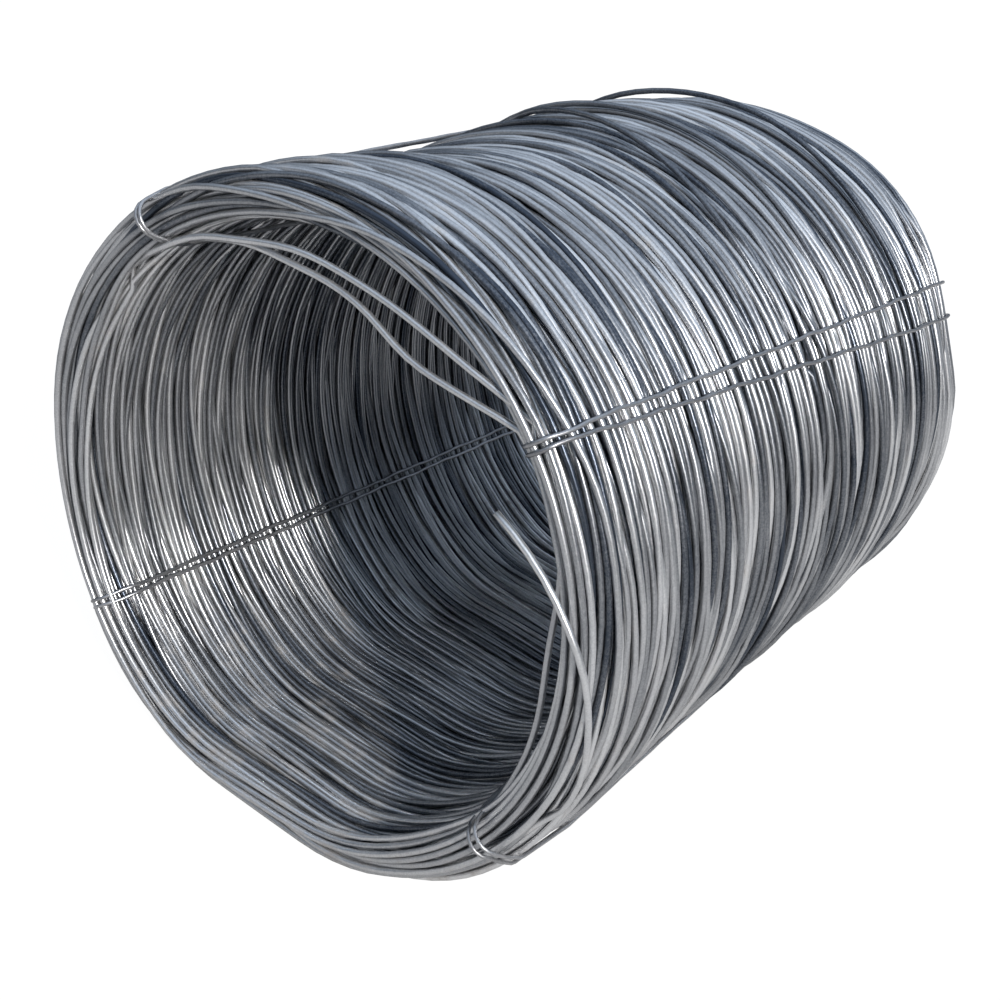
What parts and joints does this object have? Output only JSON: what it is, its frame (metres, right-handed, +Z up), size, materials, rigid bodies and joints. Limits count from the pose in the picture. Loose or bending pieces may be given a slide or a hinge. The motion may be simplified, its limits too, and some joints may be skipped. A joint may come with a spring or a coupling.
{
  "type": "coil of wire rod",
  "caption": "Coil of hot-rolled steel wire rod lying on its side, pressed into a thick hollow roll and held by double wire ties, with loose turns and a free end at its front.",
  "frame": {"origin": "bottom centre of the coil as it lies, on the ground", "axes": "+Y along the coil's axis from its front end to its back end, +X to the right seen from the front, +Z up"},
  "size_m": [1.2732, 1.538, 1.2392],
  "materials": {
    "rod_steel": "blue-grey mill scale, with a satin sheen and light rust on the undersides",
    "tie_wire": "soft drawn wire, dull grey"
  },
  "bodies": {
    "root": {"wire_rod_coil": "rod_steel", "tie_upper_left_a": "tie_wire", "tie_upper_left_b": "tie_wire", "tie_upper_right_a": "tie_wire", "tie_upper_right_b": "tie_wire", "tie_lower_left_a": "tie_wire", "tie_lower_left_b": "tie_wire", "tie_lower_right_a": "tie_wire", "tie_lower_right_b": "tie_wire"}
  },
  "joints": []
}
